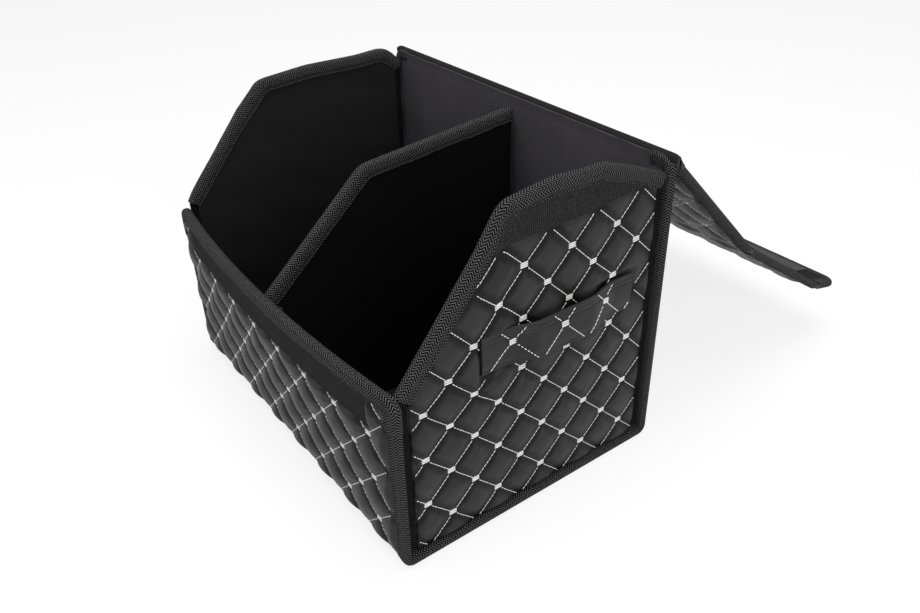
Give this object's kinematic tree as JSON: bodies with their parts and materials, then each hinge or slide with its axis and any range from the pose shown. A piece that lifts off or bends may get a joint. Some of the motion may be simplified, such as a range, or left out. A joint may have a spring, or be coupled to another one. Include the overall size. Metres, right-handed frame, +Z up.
{
  "type": "organizer bag",
  "caption": "Foldable boarded organizer bag in black quilted leatherette with knitted edge binding, felt lining, divider, side handles and a folding lid hanging open.",
  "frame": {"origin": "middle of the base's underside", "axes": "+Z up, +X along the bag to its right end as seen from the front, +Y from the low front wall to the tall back wall and on along the open lid"},
  "size_m": [0.439, 0.6074, 0.3172],
  "materials": {
    "leatherette": "satin, lightly grained, quilted with white thread",
    "black_felt": "matt felt",
    "pale_felt": "matt felt",
    "knit_tape": "herringbone knit",
    "loop_pile": "fuzzy loop pile",
    "hook_tape": "fine hooks",
    "stiffening_board": "grey board, out of sight"
  },
  "bodies": {
    "bag": {"back_board": "stiffening_board", "back_cover": "leatherette", "back_lining": "pale_felt", "base_board": "stiffening_board", "base_cover": "leatherette", "base_lining": "black_felt", "divider_binding": "knit_tape", "divider_board": "stiffening_board", "divider_front_hook_strip": "hook_tape", "divider_left_felt": "black_felt", "divider_rear_hook_strip": "hook_tape", "divider_right_felt": "black_felt", "front_board": "stiffening_board", "front_cover": "leatherette", "front_lining": "black_felt", "front_loop_band": "loop_pile", "front_top_binding": "knit_tape", "left_end_binding": "knit_tape", "left_end_board": "stiffening_board", "left_end_cover": "leatherette", "left_end_lining": "black_felt", "left_end_loop_band": "loop_pile", "left_front_joining_strip": "knit_tape", "left_handle": "leatherette", "left_rear_joining_strip": "knit_tape", "left_side_binding": "knit_tape", "right_end_binding": "knit_tape", "right_end_board": "stiffening_board", "right_end_cover": "leatherette", "right_end_lining": "black_felt", "right_end_loop_band": "loop_pile", "right_front_joining_strip": "knit_tape", "right_handle": "leatherette", "right_rear_joining_strip": "knit_tape", "right_side_binding": "knit_tape"},
    "lid front flap": {"lid_flap_binding": "knit_tape", "lid_flap_board": "stiffening_board", "lid_flap_cover": "leatherette", "lid_flap_hook_strip": "hook_tape", "lid_flap_lining": "black_felt"},
    "lid slope leaf": {"lid_slope_board": "stiffening_board", "lid_slope_cover": "leatherette", "lid_slope_left_binding": "knit_tape", "lid_slope_lining": "black_felt", "lid_slope_right_binding": "knit_tape"},
    "lid top leaf": {"lid_top_board": "stiffening_board", "lid_top_cover": "leatherette", "lid_top_left_binding": "knit_tape", "lid_top_lining": "black_felt", "lid_top_right_binding": "knit_tape"}
  },
  "joints": [
    {"name": "lid hinge", "type": "hinge", "parent": "bag", "child": "lid top leaf", "pos_m": [0, 0.1462, 0.2999], "axis": [1, 0, 0], "range_deg": [-2, 215]},
    {"name": "lid fold", "type": "hinge", "parent": "lid top leaf", "child": "lid slope leaf", "pos_m": [0, 0.27288, 0.16636], "axis": [1, 0, 0], "range_deg": [-8, 43]},
    {"name": "flap fold", "type": "hinge", "parent": "lid slope leaf", "child": "lid front flap", "pos_m": [0, 0.41547, 0.07018], "axis": [1, 0, 0], "range_deg": [-12, 22]}
  ]
}
